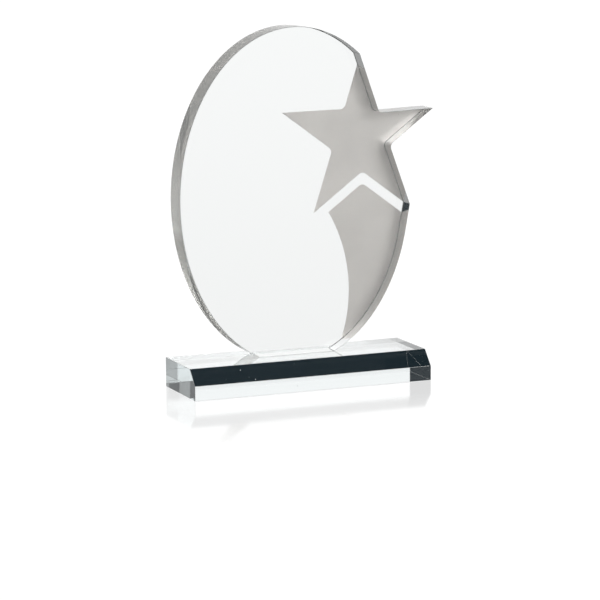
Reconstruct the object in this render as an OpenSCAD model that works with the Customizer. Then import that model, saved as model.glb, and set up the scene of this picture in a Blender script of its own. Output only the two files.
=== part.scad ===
// Crystal award: a bevelled base block that carries an upright oval plate.
// A five-pointed star breaks the plate's right-hand edge, and a comet tail
// sweeps down below it. Star and tail are satin silver film on the back face.
// Origin: centre of the base's underside. +Z up, +X to the viewer's right,
// +Y towards the back. Millimetres.

/* [Base block] */
// Length of the base, along X
base_l = 150; // [100:1:220]
// Depth of the base, along Y
base_d = 48; // [38:0.5:70]
// Full height of the base
base_h = 17.5; // [12:0.5:30]
// Height of the upright front face below the bevel
front_h = 8.6; // [4:0.1:16]
// How far the bevel runs back from the front face
bevel_d = 8.2; // [3:0.1:14]

/* [Oval plate] */
// Thickness of the plate
plate_t = 15.5; // [8:0.5:25]
// Distance from the front of the base to the front of the plate
plate_set = 24; // [14:0.5:32]
// Half the width of the oval
oval_rx = 72.8; // [50:0.2:100]
// Half the height of the oval
oval_rz = 99.5; // [70:0.5:130]
// Sideways place of the oval's centre from the middle of the base
oval_x = -1; // [-10:0.5:10]
// How much of the oval's lower end is cut away to make its foot
foot_cut = 5.65; // [2:0.05:12]
// Largest angle between two points of the oval, in degrees
oval_step = 1.5; // [0.5:0.1:4]

/* [Star] */
// Sideways place of the star's middle, as a share of the oval's half width
star_out = 0.64; // [0.5:0.01:0.8]
// Height of the star's middle over the oval's, as a share of its half height
star_up = 0.32; // [0.1:0.01:0.5]
// Reach of the top arm from the star's middle
reach_top = 43.5; // [35:0.5:50]
// Reach of the right arm
reach_right = 45; // [35:0.5:52]
// Reach of the lower right arm
reach_low_right = 48.6; // [40:0.2:56]
// Reach of the lower left arm
reach_low_left = 54; // [44:0.2:60]
// Reach of the left arm
reach_left = 54; // [44:0.5:60]
// Distance from the star's middle to its lower three notches
notch_in = 20.6; // [16:0.2:24]
// Distance from the star's middle to the upper right notch
notch_in_top = 16.6; // [14:0.2:22]
// Distance from the star's middle to the right notch
notch_in_right = 14.6; // [12:0.2:20]
// Direction of the top arm, in degrees anticlockwise from +X
dir_top = 94; // [90:1:97]
// Direction of the right arm
dir_right = 21; // [18:1:24]
// Direction of the lower right arm
dir_low_right = -56.4; // [-59:0.2:-54]
// Direction of the lower left arm
dir_low_left = -125.7; // [-129:0.1:-122]
// Direction of the left arm
dir_left = 162; // [159:1:166]
// Direction of the upper right notch
dir_notch_top = 65; // [60:1:68]
// Direction of the right notch
dir_notch_right = -18.5; // [-22:0.5:-15]
// Direction of the bottom notch
dir_notch_bottom = -90; // [-93:0.5:-87]
// Direction of the left notch
dir_notch_left = 199.5; // [195:0.5:204]
// Direction of the upper left notch
dir_notch_up_left = 124; // [120:1:128]
// Radius in the bottom of each notch
notch_r = 3.5; // [1:0.1:6]
// How far below the oval's centre the lower right arm blends into its edge
blend_drop = 24; // [12:1:40]

/* [Comet tail] */
// Clear band between the star and the tail
tail_gap = 5.7; // [2:0.1:10]
// Length of the left side of the tail's head
head_side = 27.2; // [15:0.1:35]
// How far left of the oval's middle the inner sweep is centred, as a share of its half width
sweep_out = 0.744; // [0.4:0.005:1]
// How far below the oval's middle the inner sweep is centred, as a share of its half height
sweep_down = 0.593; // [0.4:0.001:0.8]

/* [Film and bond] */
// Thickness of the silver film
film_t = 0.2; // [0.1:0.05:0.5]
// Margin between the film and the plate's edge
film_inset = 0.1; // [0:0.05:3]
// Thickness of the clear bond under the plate
bond_t = 0.15; // [0.1:0.05:0.5]
// Margin between the bond and the edge of the plate's foot
bond_inset = 0.3; // [0:0.1:1]

/* [Hidden] */
plate_y = plate_set - base_d / 2;
plate_back = plate_y + plate_t;
foot_z = base_h + bond_t;
oval_z = foot_z + oval_rz - foot_cut;
foot_half = oval_rx * sqrt(1 - pow((foot_z - oval_z) / oval_rz, 2));
far = 400;

star_mid = [oval_x + star_out * oval_rx, oval_z + star_up * oval_rz];
tip_top = star_mid + reach_top * toward(dir_top);
tip_right = star_mid + reach_right * toward(dir_right);
tip_low_right = star_mid + reach_low_right * toward(dir_low_right);
tip_low_left = star_mid + reach_low_left * toward(dir_low_left);
tip_left = star_mid + reach_left * toward(dir_left);
notch_ur = star_mid + notch_in_top * toward(dir_notch_top);
notch_r_side = star_mid + notch_in_right * toward(dir_notch_right);
notch_bottom = star_mid + notch_in * toward(dir_notch_bottom);
notch_l_side = star_mid + notch_in * toward(dir_notch_left);
notch_ul = star_mid + notch_in * toward(dir_notch_up_left);

// Angles on the oval, as seen from its centre in a circle of radius 1: where it
// meets the foot, where the star's lower right arm blends in, and where the
// right edge of the star's top arm runs out through the oval
foot_angle = asin((foot_z - oval_z) / oval_rz);
blend_angle = asin(-blend_drop / oval_rz);
arm_from = [(notch_ur[0] - oval_x) / oval_rx, (notch_ur[1] - oval_z) / oval_rz];
arm_to = [(tip_top[0] - oval_x) / oval_rx, (tip_top[1] - oval_z) / oval_rz];
arm_run = unit(arm_to - arm_from);
arm_mid = arm_from * arm_run;
arm_out = arm_from + arm_run * (sqrt(pow(arm_mid, 2) + 1 - arm_from * arm_from) - arm_mid);
oval_top = atan2(arm_out[1], arm_out[0]);

// Tail head: the star's lower edges moved down by the clear band
arm_l = unit(tip_low_left - notch_bottom);
arm_r = unit(tip_low_right - notch_bottom);
half_notch = acos(arm_l * arm_r) / 2;
tail_head = notch_bottom + unit(arm_l + arm_r) * tail_gap / sin(half_notch);

// Inner sweep of the tail: a circle through the left corner of its head
sweep_mid = [oval_x - sweep_out * oval_rx, oval_z - sweep_down * oval_rz];
sweep_r = norm(tail_head + head_side * arm_l - sweep_mid);

function unit(v) = v / norm(v);
function toward(a) = [cos(a), sin(a)];
function wrap(a) = a > 180 ? a - 360 : (a < -180 ? a + 360 : a);

// Points of a round corner of radius r at b, between the lines to a and c
function corner(a, b, c, r, n = 8) =
    let (u = unit(a - b), w = unit(c - b))
    let (half = acos(u * w) / 2)
    let (mid = b + unit(u + w) * r / sin(half))
    let (p = b + u * r / tan(half) - mid, q = b + w * r / tan(half) - mid)
    let (a0 = atan2(p[1], p[0]), turn = wrap(atan2(q[1], q[0]) - a0))
    [for (i = [0 : n]) mid + r * toward(a0 + turn * i / n)];

// Points of the oval between two angles
function oval_arc(a0, a1) =
    let (n = ceil(abs(a1 - a0) / oval_step))
    [for (i = [0 : n]) let (a = a0 + (a1 - a0) * i / n)
        [oval_x + oval_rx * cos(a), oval_z + oval_rz * sin(a)]];

// The same points in the other order
function backwards(list) = [for (i = [len(list) - 1 : -1 : 0]) list[i]];

corner_ur = corner(tip_top, notch_ur, tip_right, notch_r);
corner_r = corner(tip_right, notch_r_side, tip_low_right, notch_r);
corner_bottom = corner(tip_low_right, notch_bottom, tip_low_left, notch_r);
corner_l = corner(tip_low_left, notch_l_side, tip_left, notch_r);
corner_ul = corner(tip_left, notch_ul, tip_top, notch_r);

// Full outline of the star
module star_outline() {
    polygon(concat([tip_top], corner_ur, [tip_right], corner_r, [tip_low_right],
        corner_bottom, [tip_low_left], corner_l, [tip_left], corner_ul));
}

// Outline of the plate: the oval from the top arm round to the foot, then up
// the right side to the star, whose open edges close the outline
module plate_outline() {
    polygon(concat(oval_arc(oval_top, 180 - foot_angle), oval_arc(foot_angle, blend_angle),
        [tip_low_right], backwards(corner_r), [tip_right], backwards(corner_ur)));
}

// Stand an outline up: its X stays X and its Y becomes Z
module upright(y0, thick) {
    translate([0, y0 + thick, 0])
        rotate([90, 0, 0])
            linear_extrude(height = thick)
                children();
}

// Bar with flat ends and back, and one bevel along the top of its front
module base_block() {
    color([0.86, 0.93, 0.92, 0.5])
        translate([-base_l / 2, 0, 0])
            rotate([90, 0, 90])
                linear_extrude(height = base_l)
                    polygon([[-base_d / 2, 0], [base_d / 2, 0], [base_d / 2, base_h],
                        [bevel_d - base_d / 2, base_h], [-base_d / 2, front_h]]);
}

// Clear plate with square polished edges, cut flat where it stands
module oval_plate() {
    color([0.9, 0.96, 0.95, 0.45])
        upright(plate_y, plate_t)
            plate_outline();
}

// Clear adhesive between the plate's foot and the top of the base
module foot_bond() {
    color([0.95, 0.97, 0.96, 0.6])
        translate([oval_x - foot_half + bond_inset, plate_y + bond_inset, base_h])
            cube([2 * (foot_half - bond_inset), plate_t - 2 * bond_inset, bond_t]);
}

// Satin silver film in the shape of the star, on the back of the plate
module star_inlay() {
    color([0.77, 0.76, 0.74])
        upright(plate_back, film_t)
            intersection() {
                star_outline();
                offset(delta = -film_inset)
                    plate_outline();
            }
}

// Satin silver film in the shape of the comet tail
module tail_inlay() {
    color([0.75, 0.74, 0.72])
        upright(plate_back, film_t)
            difference() {
                intersection() {
                    offset(delta = -film_inset)
                        plate_outline();
                    polygon(concat([tail_head + far * arm_r],
                        corner(tail_head + far * arm_r, tail_head, tail_head + far * arm_l, notch_r),
                        [tail_head + far * arm_l]));
                }
                translate(sweep_mid)
                    circle(r = sweep_r, $fn = 360);
                translate([-far, -far])
                    square([far + sweep_mid[0], 2 * far]);
            }
}

base_block();
oval_plate();
foot_bond();
star_inlay();
tail_inlay();
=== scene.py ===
"""Crystal award: bevelled base block, upright oval plate with a star on its edge, silver film behind it."""
import math

import bmesh
import bpy
from mathutils import Matrix, Vector


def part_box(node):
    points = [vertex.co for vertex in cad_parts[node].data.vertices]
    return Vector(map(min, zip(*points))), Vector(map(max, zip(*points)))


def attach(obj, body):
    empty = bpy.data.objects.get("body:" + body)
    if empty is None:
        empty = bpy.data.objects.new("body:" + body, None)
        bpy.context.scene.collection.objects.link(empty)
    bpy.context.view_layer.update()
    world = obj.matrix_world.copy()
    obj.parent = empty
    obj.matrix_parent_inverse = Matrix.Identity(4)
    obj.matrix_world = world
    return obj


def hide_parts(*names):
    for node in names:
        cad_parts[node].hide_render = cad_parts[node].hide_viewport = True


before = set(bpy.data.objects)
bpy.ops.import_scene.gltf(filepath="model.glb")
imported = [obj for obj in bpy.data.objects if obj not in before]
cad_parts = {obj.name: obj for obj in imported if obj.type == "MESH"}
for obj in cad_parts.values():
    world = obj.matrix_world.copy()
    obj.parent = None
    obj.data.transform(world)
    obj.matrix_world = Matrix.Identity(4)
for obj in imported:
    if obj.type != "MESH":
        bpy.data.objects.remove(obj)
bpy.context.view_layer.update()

# ----------------------------------------------------------------------- sizes

MM = 0.001

# Base block and fits, in metres
FRONT_H = 8.6 * MM  # height of the upright front face below the bevel
BEVEL_D = 8.2 * MM  # how far the bevel runs back from the front face
BASE_ARRIS = 0.12 * MM  # width of the base's ground edges
PLATE_ARRIS = 0.28 * MM  # width of the plate's ground edges
BACK_PROUD = 0.03 * MM  # how far the crystal's back reaches into the film, so that no air lies between
GAP = 0.01 * MM  # keeps each crystal face off the bond's own faces

# Outline of the plate, in millimetres and degrees: the CAD model's own, with finer steps round its curves
OVAL_X = -1  # sideways place of the oval's centre
OVAL_RX = 72.8  # half the oval's width
OVAL_RZ = 99.5  # half its height
OVAL_STEP = 0.75  # largest angle between two of its points
FOOT_CUT = 5.65  # how much of its lower end is cut away to make the foot
BLEND_DROP = 24  # how far below its centre the star's lower right arm blends in
STAR_OUT = 0.64  # sideways place of the star's middle, as a share of OVAL_RX
STAR_UP = 0.32  # height of the star's middle, as a share of OVAL_RZ
NOTCH_R = 3.5  # radius in the bottom of each notch

# Distance and direction from the star's middle
TIP_TOP = (43.5, 94)
TIP_RIGHT = (45, 21)
TIP_LOW_RIGHT = (48.6, -56.4)
NOTCH_TOP = (16.6, 65)
NOTCH_SIDE = (14.6, -18.5)

# Limits used in the mesh work
MITRE_LIMIT = 0.35  # keeps the inset of a very sharp corner short
SMOOTH_BELOW = math.radians(12)  # an edge where two faces turn by less than this is shaded smooth

# Optics
CRYSTAL_IOR = 1.52
BOND_IOR = 1.5
ABSORB_DENSITY = 20.0

# Studio
SOFT_BOX_POWER = 7.6
FLAG_TURN = 25.2  # how far the dark flag stands to the left of +Y, in degrees
BLACK_GLOW = (0.006, 0.015, 0.021, 1)  # what the dark parts of the studio still give
WHITE_SEEN = (1.02, 1.02, 1.02, 1)  # what the camera sees past the floor
FLOOR_GLOW = 1.06
FLOOR_HALF = 6.0  # half the floor's side, in metres

# ---------------------------------------------------------------- node helpers


class Graph:
    """Short calls for building a node tree."""

    def __init__(self, tree, output):
        self.nodes = tree.nodes
        self.links = tree.links
        self.nodes.clear()
        self.out = self.node(output)

    def node(self, kind, **settings):
        n = self.nodes.new(kind)
        for key, value in settings.items():
            setattr(n, key, value)
        return n

    def put(self, socket, value):
        if isinstance(value, bpy.types.NodeSocket):
            self.links.new(value, socket)
        else:
            socket.default_value = value

    def math(self, op, a, b=0.0, clamp=False):
        n = self.node("ShaderNodeMath", operation=op, use_clamp=clamp)
        self.put(n.inputs[0], a)
        self.put(n.inputs[1], b)
        return n.outputs[0]

    def times(self, value, *factors):
        for each in factors:
            value = self.math("MULTIPLY", value, each)
        return value

    def smooth(self, value, low, high, out_low=0.0, out_high=1.0):
        n = self.node("ShaderNodeMapRange", interpolation_type="SMOOTHSTEP")
        self.put(n.inputs["Value"], value)
        self.put(n.inputs["From Min"], low)
        self.put(n.inputs["From Max"], high)
        self.put(n.inputs["To Min"], out_low)
        self.put(n.inputs["To Max"], out_high)
        return n.outputs["Result"]

    def blend(self, factor, a, b):
        n = self.node("ShaderNodeMix", data_type="RGBA")
        self.put(n.inputs["Factor"], factor)
        self.put(n.inputs["A"], a)
        self.put(n.inputs["B"], b)
        return n.outputs["Result"]

    def noise(self, vector, scale, detail=3.0, rough=0.5):
        n = self.node("ShaderNodeTexNoise")
        self.put(n.inputs["Vector"], vector)
        n.inputs["Scale"].default_value = scale
        n.inputs["Detail"].default_value = detail
        n.inputs["Roughness"].default_value = rough
        return n.outputs["Fac"]

    def dots(self, vector, scale, inner, outer):
        """Small round dots, 1 within inner and 0 beyond outer, one to a cell."""
        n = self.node("ShaderNodeTexVoronoi")
        self.put(n.inputs["Vector"], vector)
        n.inputs["Scale"].default_value = scale
        return self.smooth(n.outputs["Distance"], inner, outer, 1.0, 0.0)

    def stretch(self, vector, scale, turn=(0, 0, 0)):
        n = self.node("ShaderNodeMapping")
        self.put(n.inputs["Vector"], vector)
        n.inputs["Rotation"].default_value = turn
        n.inputs["Scale"].default_value = scale
        return n.outputs["Vector"]

    def bump(self, height, strength, distance):
        n = self.node("ShaderNodeBump")
        n.inputs["Strength"].default_value = strength
        n.inputs["Distance"].default_value = distance
        self.put(n.inputs["Height"], height)
        return n.outputs[0]


def material(name):
    """A new material with its node graph, its Principled shader and the object's own coordinates."""
    m = bpy.data.materials.new(name)
    m.use_nodes = True
    g = Graph(m.node_tree, "ShaderNodeOutputMaterial")
    bsdf = g.node("ShaderNodeBsdfPrincipled")
    g.links.new(bsdf.outputs[0], g.out.inputs["Surface"])
    where = g.node("ShaderNodeTexCoord").outputs["Object"]
    return m, g, bsdf, where


# ------------------------------------------------------------------- materials


def crystal(name, tint, loss, dustiness, seed):
    """Polished optical crystal: a faint polishing ripple, hair scratches and a few specks of dust.
    loss is the light that red, green and blue lose to each metre of crystal, and
    dustiness is how much a speck blocks."""
    m, g, bsdf, where = material(name)
    absorb = g.node("ShaderNodeVolumeAbsorption")
    absorb.inputs["Color"].default_value = (*(1 - each / ABSORB_DENSITY for each in loss), 1)
    absorb.inputs["Density"].default_value = ABSORB_DENSITY
    g.links.new(absorb.outputs[0], g.out.inputs["Volume"])
    bsdf.inputs["Base Color"].default_value = (*tint, 1)
    bsdf.inputs["IOR"].default_value = CRYSTAL_IOR
    bsdf.inputs["Roughness"].default_value = 0.0

    place = g.stretch(where, scale=(1, 1, 1), turn=(0.3 * seed, 0.7, 0.2 * seed))
    ripple = g.noise(place, scale=9.0, detail=1.0, rough=0.4)
    hair = g.noise(g.stretch(place, scale=(40, 2200, 300)), scale=1.0, detail=2.0, rough=0.6)
    scratch = g.times(g.smooth(hair, low=0.74, high=0.8), -0.012)
    g.put(bsdf.inputs["Normal"], g.bump(g.math("ADD", ripple, scratch), strength=0.05, distance=0.0004))

    speck = g.dots(place, scale=260, inner=0.05, outer=0.09)
    patch = g.smooth(g.noise(place, scale=60, detail=2.0), low=0.56, high=0.62)
    dust = g.times(speck, patch, dustiness)
    g.put(bsdf.inputs["Transmission Weight"], g.math("SUBTRACT", 1.0, dust))
    return m


def ground_edge(name):
    """The narrow ground chamfer round a polished block: fine grey frosting that scatters the light."""
    dark, light, chipped = (0.34, 0.35, 0.345, 1), (0.50, 0.51, 0.505, 1), (0.74, 0.76, 0.76, 1)
    m, g, bsdf, where = material(name)
    grain = g.noise(where, scale=3000, rough=0.6)
    chips = g.smooth(g.noise(where, scale=260, detail=2.0), low=0.62, high=0.7)
    tone = g.blend(g.smooth(grain, low=0.3, high=0.7), dark, light)
    g.put(bsdf.inputs["Base Color"], g.blend(chips, tone, chipped))
    bsdf.inputs["Transmission Weight"].default_value = 0.45
    bsdf.inputs["IOR"].default_value = CRYSTAL_IOR
    g.put(bsdf.inputs["Roughness"], g.math("ADD", 0.4, g.times(grain, 0.2)))
    return m


def clear_bond():
    """Cured clear adhesive, with the small trapped bubbles such a joint has."""
    m, g, bsdf, where = material("bond_clear")
    bsdf.inputs["Base Color"].default_value = (0.97, 0.98, 0.98, 1)
    bsdf.inputs["Transmission Weight"].default_value = 1.0
    bsdf.inputs["IOR"].default_value = BOND_IOR
    bubbles = g.times(g.dots(where, scale=600, inner=0.10, outer=0.16), 0.4)
    haze = g.times(g.noise(where, scale=120), 0.05)
    g.put(bsdf.inputs["Roughness"], g.math("ADD", haze, bubbles, clamp=True))
    return m


def silver_film(name, tone, seed):
    """Satin silver film: fine grain, a slight cloudiness and soft brush lines."""
    m, g, bsdf, where = material(name)
    grain = g.noise(where, scale=2600 + 90 * seed, rough=0.6)
    cloud = g.noise(g.stretch(where, scale=(1, 1, 1), turn=(0.4 * seed, 0.1, 0.9)), scale=24)
    lines = g.noise(g.stretch(where, scale=(60, 60, 1400)), scale=1.0, detail=2.0)
    dark = tuple(c * 0.95 for c in tone)
    light = tuple(min(1.0, c * 1.04) for c in tone)
    mixed = g.math("ADD", g.times(cloud, 0.7), g.times(grain, 0.3))
    shade = g.blend(g.smooth(mixed, low=0.3, high=0.7), (*dark, 1), (*light, 1))
    g.put(bsdf.inputs["Base Color"], shade)
    bsdf.inputs["Metallic"].default_value = 0.8
    g.put(bsdf.inputs["Roughness"], g.math("ADD", 0.34, g.times(grain, 0.12)))
    height = g.math("ADD", grain, g.times(lines, 0.4))
    g.put(bsdf.inputs["Normal"], g.bump(height, strength=0.25, distance=0.00003))
    return m


# ---------------------------------------------------------------- shape helpers


def polar(length, degrees):
    return Vector((math.cos(math.radians(degrees)), math.sin(math.radians(degrees)))) * length


def corner(a, b, c, r, n=24):
    """Points of a round corner of radius r at b, between the lines to a and c."""
    u, w = (a - b).normalized(), (c - b).normalized()
    half = math.acos(u.dot(w)) / 2
    mid = b + (u + w).normalized() * (r / math.sin(half))
    p, q = b + u * (r / math.tan(half)) - mid, b + w * (r / math.tan(half)) - mid
    start = math.atan2(p.y, p.x)
    turn = math.atan2(q.y, q.x) - start
    turn = (turn + math.pi) % (2 * math.pi) - math.pi
    angles = [start + turn * i / n for i in range(n + 1)]
    return [mid + r * Vector((math.cos(a), math.sin(a))) for a in angles]


def inset_by(outline, by):
    """An anticlockwise outline with every edge moved inwards."""
    out = []
    for i, p in enumerate(outline):
        a = (p - outline[i - 1]).normalized()
        b = (outline[(i + 1) % len(outline)] - p).normalized()
        outward = Vector((b.y, -b.x))
        mid = (Vector((a.y, -a.x)) + outward).normalized()
        out.append(p - mid * (by / max(MITRE_LIMIT, mid.dot(outward))))
    return out


def cut_corners(points, cut, sharp):
    """Every corner of an outline cut off by a small flat, but for the one at the index sharp."""
    out = []
    for i, p in enumerate(points):
        if i == sharp:
            out.append(p)
            continue
        a, b = points[i - 1], points[(i + 1) % len(points)]
        out.append(p + (a - p).normalized() * cut)
        out.append(p + (b - p).normalized() * cut)
    return out


def prism(name, outline, stand, low, high, arris, ground_corners=False):
    """A closed solid: an outline run from low to high, with a small ground chamfer round each end.
    stand turns (u, v, w) of the outline into x, y, z, with w from low to high. The chamfers take the
    second material, and so do the outline's own short flats where ground_corners is true."""
    n = len(outline)
    inset = inset_by(outline, arris)
    bm = bmesh.new()
    rings = []
    for points, w in ((inset, low), (outline, low + arris), (outline, high - arris), (inset, high)):
        rings.append([bm.verts.new(stand(p.x, p.y, w)) for p in points])
    for r in range(3):
        for i in range(n):
            j = (i + 1) % n
            f = bm.faces.new((rings[r][i], rings[r][j], rings[r + 1][j], rings[r + 1][i]))
            narrow = ground_corners and (outline[j] - outline[i]).length < 2 * arris
            f.material_index = 1 if r != 1 or narrow else 0
    bm.faces.new(list(reversed(rings[0])))
    bm.faces.new(rings[3])
    bmesh.ops.recalc_face_normals(bm, faces=bm.faces[:])
    bm.normal_update()
    for e in bm.edges:
        e.smooth = len(e.link_faces) == 2 and e.calc_face_angle(math.pi) < SMOOTH_BELOW
    for f in bm.faces:
        f.smooth = any(e.smooth for e in f.edges)
    return add_mesh(name, bm)


def add_mesh(name, bm):
    """An object of this name in the scene, made of the bmesh, which is used up."""
    me = bpy.data.meshes.new(name)
    bm.to_mesh(me)
    bm.free()
    o = bpy.data.objects.new(name, me)
    bpy.context.scene.collection.objects.link(o)
    return o


# ------------------------------------------------------------------ base block


def base_block():
    """The bar of crystal under the plate, with its bevel and its ground edges."""
    (x0, y0, z0), (x1, y1, z1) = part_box("base_block")
    top = z1 - GAP
    front_bottom, back_bottom = Vector((y0, z0)), Vector((y1, z0))
    profile = [front_bottom, back_bottom, Vector((y1, top)),
               Vector((y0 + BEVEL_D, top)), Vector((y0, z0 + FRONT_H))]
    ground = cut_corners(profile, BASE_ARRIS, sharp=profile.index(back_bottom))
    piece = prism("base_crystal", ground, lambda u, v, w: (w, u, v), x0, x1, BASE_ARRIS, True)
    piece.data.materials.append(crystal("crystal_base", (0.985, 0.995, 0.995), (1.6, 1.2, 1.15), 0.8, 1))
    piece.data.materials.append(ground_edge("base_ground_edge"))
    return piece


base = base_block()
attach(base, "root")
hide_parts("base_block")

# ------------------------------------------------------------------ oval plate


def oval_arc(centre, a0, a1):
    """Points of the oval between two angles."""
    n = math.ceil(abs(a1 - a0) / OVAL_STEP)
    angles = [math.radians(a0 + (a1 - a0) * i / n) for i in range(n + 1)]
    return [centre + Vector((OVAL_RX * math.cos(a), OVAL_RZ * math.sin(a))) for a in angles]


def leaves_oval(centre, start, end):
    """Angle at which the line from start through end runs out of the oval, seen in a circle of radius 1."""
    near = Vector(((start.x - centre.x) / OVAL_RX, (start.y - centre.y) / OVAL_RZ))
    beyond = Vector(((end.x - centre.x) / OVAL_RX, (end.y - centre.y) / OVAL_RZ))
    along = (beyond - near).normalized()
    back = near.dot(along)
    leave = near + along * (math.sqrt(back * back + 1 - near.dot(near)) - back)
    return math.degrees(math.atan2(leave.y, leave.x))


def plate_outline(foot_z):
    """The plate's outline in millimetres, anticlockwise: the oval from the top arm round to the foot, then
    up the right side to the star, whose open edges close it."""
    centre = Vector((OVAL_X, foot_z + OVAL_RZ - FOOT_CUT))
    star = centre + Vector((STAR_OUT * OVAL_RX, STAR_UP * OVAL_RZ))
    tip_top, tip_right, tip_low_right = (star + polar(*tip) for tip in (TIP_TOP, TIP_RIGHT, TIP_LOW_RIGHT))
    notch_top, notch_side = star + polar(*NOTCH_TOP), star + polar(*NOTCH_SIDE)
    foot_angle = math.degrees(math.asin((foot_z - centre.y) / OVAL_RZ))
    blend_angle = math.degrees(math.asin(-BLEND_DROP / OVAL_RZ))
    points = oval_arc(centre, leaves_oval(centre, notch_top, tip_top), 180 - foot_angle)
    points += oval_arc(centre, foot_angle, blend_angle) + [tip_low_right]
    points += corner(tip_low_right, notch_side, tip_right, NOTCH_R) + [tip_right]
    points += corner(tip_right, notch_top, tip_top, NOTCH_R)
    return points


def oval_plate():
    """The upright plate of crystal. Its foot is bonded down, so its edges there were left sharp."""
    (_, y0, z0), (_, y1, _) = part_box("oval_plate")
    outline = [p * MM for p in plate_outline(z0 / MM)]
    piece = prism("oval_crystal", outline, lambda u, v, w: (u, w, v), y0, y1 + BACK_PROUD, PLATE_ARRIS)
    foot_reach = 1.05 * PLATE_ARRIS  # takes in the foot's chamfers, with a little to spare
    for v in piece.data.vertices:
        if v.co.z < z0 + foot_reach:
            v.co.z = z0 + GAP
    for f in piece.data.polygons:
        if f.center.z < z0 + 2 * GAP:
            f.material_index = 0
    piece.data.materials.append(crystal("crystal_plate", (0.992, 0.998, 0.996), (2.7, 2.5, 2.6), 0.1, 2))
    piece.data.materials.append(ground_edge("plate_ground_edge"))
    return piece


plate = oval_plate()
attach(plate, "root")
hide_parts("oval_plate")

# --------------------------------------------------------------- film and bond


def finish_with(node, m):
    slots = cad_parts[node].material_slots
    if not slots:
        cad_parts[node].data.materials.append(m)
    for s in slots:
        s.material = m


finish_with("star_inlay", silver_film("film_star", (0.945, 0.905, 0.872), 1))
finish_with("tail_inlay", silver_film("film_tail", (0.945, 0.905, 0.87), 2))
finish_with("foot_bond", clear_bond())

# ---------------------------------------------------------------------- studio


def room_tone(g, dx, dy, dz):
    """How bright the studio is in a direction: a pale sweep behind the award, a greyer room in front of
    it, and a soft box high up at the front right."""
    sweep = g.times(g.smooth(dz, low=-0.05, high=-0.21, out_low=1.02, out_high=0.95),
                    g.smooth(dz, low=-0.215, high=-0.275, out_low=1.0, out_high=0.35))
    room = g.times(g.smooth(dz, low=-0.19, high=0.19, out_low=0.74, out_high=0.45),
                   g.smooth(dx, low=-0.4, high=0.3, out_low=0.6, out_high=1.0),
                   g.smooth(dz, low=-0.45, high=-0.28, out_low=0.38, out_high=1.0))
    in_front = g.smooth(dy, low=0.1, high=-0.2)
    behind = g.math("SUBTRACT", 1.0, in_front)
    tone = g.math("ADD", g.times(in_front, room), g.times(behind, sweep))
    soft_box = g.times(g.smooth(dy, low=-0.42, high=-0.56), g.smooth(dx, low=-0.1, high=0.4),
                       g.smooth(dz, low=0.27, high=0.42), SOFT_BOX_POWER)
    return g.math("ADD", tone, soft_box)


def dark_parts(g, dx, dy, dz):
    """1 where the studio is dark: the ceiling, and one narrow upright flag behind the award."""
    ceiling = g.times(g.smooth(dz, low=0.42, high=0.52), g.smooth(dy, low=-0.5, high=-0.35))
    flat = g.math("SQRT", g.math("ADD", g.times(dx, dx), g.times(dy, dy)))
    flag = polar(1, 90 + FLAG_TURN)
    towards_flag = g.math("ADD", g.times(dx, flag.x), g.times(dy, flag.y))
    towards_flag = g.math("DIVIDE", towards_flag, g.math("MAXIMUM", flat, 0.001))
    strip = g.times(g.smooth(towards_flag, low=0.9976, high=0.9993), g.smooth(dz, low=-0.34, high=-0.26))
    return g.math("MAXIMUM", ceiling, strip, clamp=True)


def studio_light():
    """Plain soft studio light, all of it in the world. The camera sees plain white there."""
    world = bpy.data.worlds.new("studio")
    bpy.context.scene.world = world
    world.use_nodes = True
    g = Graph(world.node_tree, "ShaderNodeOutputWorld")
    split = g.node("ShaderNodeSeparateXYZ")
    g.put(split.inputs[0], g.node("ShaderNodeTexCoord").outputs["Generated"])
    direction = split.outputs[:]
    level = room_tone(g, *direction)
    lit = g.node("ShaderNodeCombineColor")
    for channel, share in zip(lit.inputs, (0.995, 1.0, 1.0)):
        g.put(channel, g.times(level, share))
    tone = g.blend(dark_parts(g, *direction), lit.outputs[0], BLACK_GLOW)
    seen = g.node("ShaderNodeLightPath").outputs["Is Camera Ray"]
    sky = g.node("ShaderNodeBackground")
    g.put(sky.inputs["Color"], g.blend(seen, tone, WHITE_SEEN))
    sky.inputs["Strength"].default_value = 1.0
    g.links.new(sky.outputs[0], g.out.inputs[0])


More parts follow.
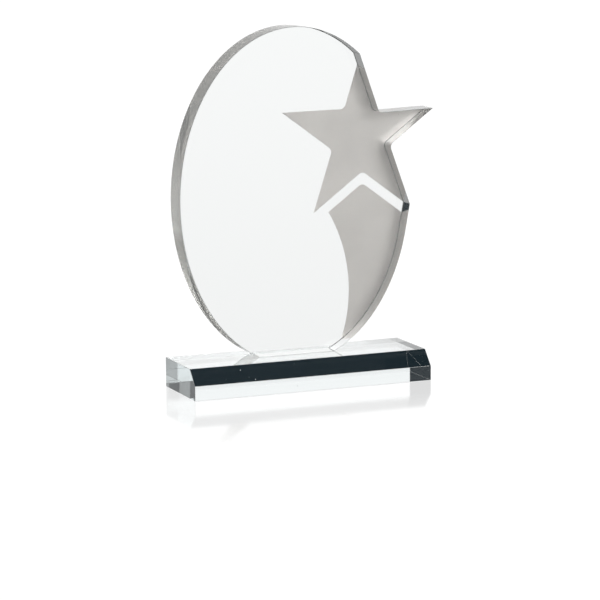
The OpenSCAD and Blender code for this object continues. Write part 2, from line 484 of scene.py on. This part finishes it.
def floor_white():
    """Plain pale floor with a soft sheen that dies away from the award."""
    m = bpy.data.materials.new("floor_white")
    m.use_nodes = True
    g = Graph(m.node_tree, "ShaderNodeOutputMaterial")
    away = g.node("ShaderNodeVectorMath", operation="LENGTH")
    g.put(away.inputs[0], g.node("ShaderNodeTexCoord").outputs["Object"])
    near = g.smooth(away.outputs["Value"], low=0.12, high=0.2, out_low=1.04, out_high=0.0)
    mirror = g.times(g.node("ShaderNodeFresnel").outputs[0], near)
    glow = g.node("ShaderNodeEmission")
    g.put(glow.inputs["Strength"], g.math("SUBTRACT", FLOOR_GLOW, mirror))
    shine = g.node("ShaderNodeBsdfGlossy")
    g.put(shine.inputs["Color"], mirror)
    shine.inputs["Roughness"].default_value = 0.09
    both = g.node("ShaderNodeAddShader")
    g.links.new(glow.outputs[0], both.inputs[0])
    g.links.new(shine.outputs[0], both.inputs[1])
    g.links.new(both.outputs[0], g.out.inputs["Surface"])
    return m


def studio_floor():
    """A floor just under the award, which the crystal itself neither sees nor mirrors."""
    bm = bmesh.new()
    bmesh.ops.create_grid(bm, x_segments=1, y_segments=1, size=FLOOR_HALF)
    piece = add_mesh("floor", bm)
    piece.location.z = -0.1 * MM
    piece.data.materials.append(floor_white())
    piece.visible_transmission = False
    piece.visible_glossy = False
    piece.visible_diffuse = False
    return piece


studio_light()
floor = studio_floor()

# ---------------------------------------------------------------------- camera

YAW, PITCH, ROLL = math.radians(22.89), math.radians(9.87), math.radians(-0.33)
FOCAL = 2943.0  # focal length in pixels of the frame
FRAME_WIDTH = 600
SENSOR_WIDTH = 36
DISTANCE = 1.735
AIM = Vector((0.92 * MM, 0, 49.9 * MM))


def camera():
    """The camera at the photograph's angle, looking at AIM from DISTANCE."""
    ahead = Vector((math.sin(YAW) * math.cos(PITCH), math.cos(YAW) * math.cos(PITCH), -math.sin(PITCH)))
    level = Vector((math.cos(YAW), -math.sin(YAW), 0))
    lift = level.cross(ahead)
    right = level * math.cos(ROLL) + lift * math.sin(ROLL)
    up = lift * math.cos(ROLL) - level * math.sin(ROLL)
    cam = bpy.data.objects.new("camera", bpy.data.cameras.new("camera"))
    cam.data.sensor_width = SENSOR_WIDTH
    cam.data.lens = FOCAL / FRAME_WIDTH * SENSOR_WIDTH
    cam.data.clip_end = 50
    turn = Matrix((right, up, -ahead)).transposed().to_4x4()
    cam.matrix_world = Matrix.Translation(AIM - ahead * DISTANCE) @ turn
    bpy.context.scene.collection.objects.link(cam)
    return cam


scene = bpy.context.scene
bpy.context.scene.camera = camera()
scene.view_settings.view_transform = "Standard"
scene.view_settings.look = "None"
scene.cycles.max_bounces = 32
scene.cycles.transmission_bounces = 32
scene.cycles.glossy_bounces = 16
scene.cycles.transparent_max_bounces = 16
